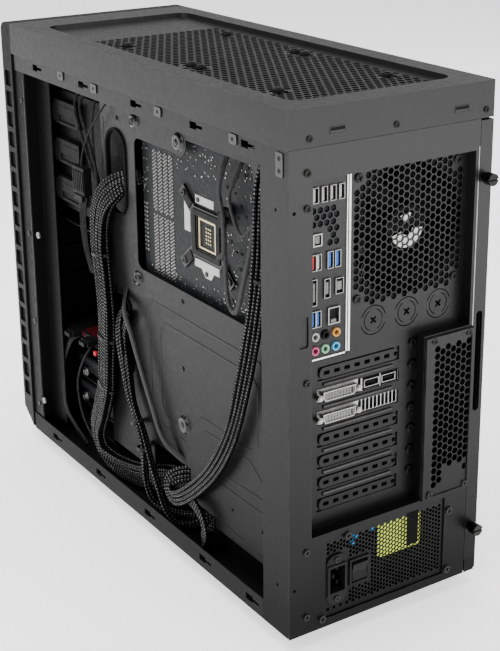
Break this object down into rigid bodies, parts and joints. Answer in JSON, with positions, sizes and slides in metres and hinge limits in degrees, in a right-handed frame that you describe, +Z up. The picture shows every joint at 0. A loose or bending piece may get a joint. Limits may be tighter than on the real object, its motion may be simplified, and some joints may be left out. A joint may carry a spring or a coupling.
{
  "type": "desktop computer tower",
  "caption": "Desktop computer tower in black steel, its right side panel off, with boards, drives, fans, power supply and tied wiring in view.",
  "frame": {"origin": "on the floor, under the middle of the outer box", "axes": "+Z up, +Y to the rear, +X to the open right side"},
  "size_m": [0.212, 0.552, 0.48],
  "materials": {
    "painted_steel": "fine matte black powder coat",
    "black_plastic": "fine moulded texture",
    "rubber": "matte",
    "red_plastic": "satin label",
    "aluminium": "satin, as cast and as rolled",
    "circuit_board": "black solder mask",
    "bare_steel": "bright plated sheet",
    "cable_sleeve": "braided sleeve"
  },
  "bodies": {
    "chassis": {"bottom_pan": "painted_steel", "rear_panel": "painted_steel", "motherboard_tray": "painted_steel", "front_frame": "painted_steel", "top_frame": "painted_steel", "top_cover": "painted_steel", "top_grille": "painted_steel", "slot_vent_panel": "painted_steel", "front_filter": "painted_steel", "bay_cage": "painted_steel", "drive_cage": "painted_steel", "cpu_backplate": "painted_steel", "psu_case": "painted_steel", "slot_cover_1": "painted_steel", "slot_cover_4": "painted_steel", "slot_cover_5": "painted_steel", "slot_cover_6": "painted_steel", "slot_cover_7": "painted_steel", "front_fascia": "black_plastic", "bay_cover_1": "black_plastic", "bay_cover_2": "black_plastic", "bay_cover_3": "black_plastic", "psu_inlet": "black_plastic", "rear_fan_frame": "black_plastic", "front_fan_frame": "black_plastic", "tray_grommet_upper": "rubber", "tray_grommet_lower": "rubber", "foot_front_left": "rubber", "foot_front_right": "rubber", "foot_rear_left": "rubber", "foot_rear_right": "rubber", "solid_state_drive": "red_plastic", "cpu_cooler": "aluminium", "motherboard": "circuit_board", "memory_modules": "circuit_board", "graphics_card": "circuit_board", "graphics_bracket": "bare_steel", "io_shield": "bare_steel", "main_power_cable": "cable_sleeve", "cpu_power_cable": "cable_sleeve", "graphics_power_cable": "cable_sleeve"},
    "left_side_panel": {"left_side_panel": "painted_steel"},
    "thumbscrew_lower": {"thumbscrew_lower": "painted_steel"},
    "thumbscrew_upper": {"thumbscrew_upper": "painted_steel"},
    "psu_filter": {"psu_filter": "black_plastic"},
    "power_button": {"power_button": "black_plastic"},
    "reset_button": {"reset_button": "black_plastic"},
    "bay_latch_1": {"bay_latch_1": "black_plastic"},
    "bay_latch_2": {"bay_latch_2": "black_plastic"},
    "bay_latch_3": {"bay_latch_3": "black_plastic"},
    "drive_1": {"drive_tray_1": "black_plastic", "hard_drive_1": "aluminium"},
    "drive_2": {"drive_tray_2": "black_plastic", "hard_drive_2": "aluminium"},
    "cpu_fan": {"cpu_fan_rotor": "black_plastic"},
    "graphics_fan": {"graphics_fan_rotor": "black_plastic"},
    "psu_fan": {"psu_fan_rotor": "black_plastic"},
    "rear_fan": {"rear_fan_rotor": "black_plastic"},
    "front_fan": {"front_fan_rotor": "black_plastic"},
    "psu_rocker": {"psu_rocker": "black_plastic"}
  },
  "joints": [
    {"name": "side_panel_slide", "type": "slide", "parent": "chassis", "child": "left_side_panel", "axis": [0, 1, 0], "range_m": [0, 0.015]},
    {"name": "thumbscrew_lower_travel", "type": "slide", "parent": "left_side_panel", "child": "thumbscrew_lower", "axis": [0, 1, 0], "range_m": [0, 0.006]},
    {"name": "thumbscrew_upper_travel", "type": "slide", "parent": "left_side_panel", "child": "thumbscrew_upper", "axis": [0, 1, 0], "range_m": [0, 0.006]},
    {"name": "psu_filter_slide", "type": "slide", "parent": "chassis", "child": "psu_filter", "axis": [0, 1, 0], "range_m": [0, 0.17]},
    {"name": "power_button_press", "type": "slide", "parent": "chassis", "child": "power_button", "axis": [0, 1, 0], "range_m": [0, 0.002], "stiffness_N_per_m": 600},
    {"name": "reset_button_press", "type": "slide", "parent": "chassis", "child": "reset_button", "axis": [0, 1, 0], "range_m": [0, 0.002], "stiffness_N_per_m": 400},
    {"name": "bay_latch_1_slide", "type": "slide", "parent": "chassis", "child": "bay_latch_1", "axis": [0, 1, 0], "range_m": [0, 0.008]},
    {"name": "bay_latch_2_slide", "type": "slide", "parent": "chassis", "child": "bay_latch_2", "axis": [0, 1, 0], "range_m": [0, 0.008]},
    {"name": "bay_latch_3_slide", "type": "slide", "parent": "chassis", "child": "bay_latch_3", "axis": [0, 1, 0], "range_m": [0, 0.008]},
    {"name": "drive_1_slide", "type": "slide", "parent": "chassis", "child": "drive_1", "axis": [-1, 0, 0], "range_m": [0, 0.026]},
    {"name": "drive_2_slide", "type": "slide", "parent": "chassis", "child": "drive_2", "axis": [-1, 0, 0], "range_m": [0, 0.026]},
    {"name": "cpu_fan_spin", "type": "hinge", "parent": "chassis", "child": "cpu_fan", "pos_m": [-0.024, 0.066, 0.334], "axis": [0, 1, 0], "continuous": true},
    {"name": "graphics_fan_spin", "type": "hinge", "parent": "chassis", "child": "graphics_fan", "pos_m": [0.014, 0.11, 0.20688], "axis": [0, 0, 1], "continuous": true},
    {"name": "psu_fan_spin", "type": "hinge", "parent": "chassis", "child": "psu_fan", "pos_m": [-0.006, 0.172, 0.0345], "axis": [0, 0, 1], "continuous": true},
    {"name": "rear_fan_spin", "type": "hinge", "parent": "chassis", "child": "rear_fan", "pos_m": [-0.026, 0.24, 0.36], "axis": [0, 1, 0], "continuous": true},
    {"name": "front_fan_spin", "type": "hinge", "parent": "chassis", "child": "front_fan", "pos_m": [0, -0.24, 0.112], "axis": [0, 1, 0], "continuous": true},
    {"name": "psu_rocker_tip", "type": "hinge", "parent": "chassis", "child": "psu_rocker", "pos_m": [0.0295, 0.2623, 0.058], "axis": [1, 0, 0], "range_deg": [0, 12]}
  ]
}
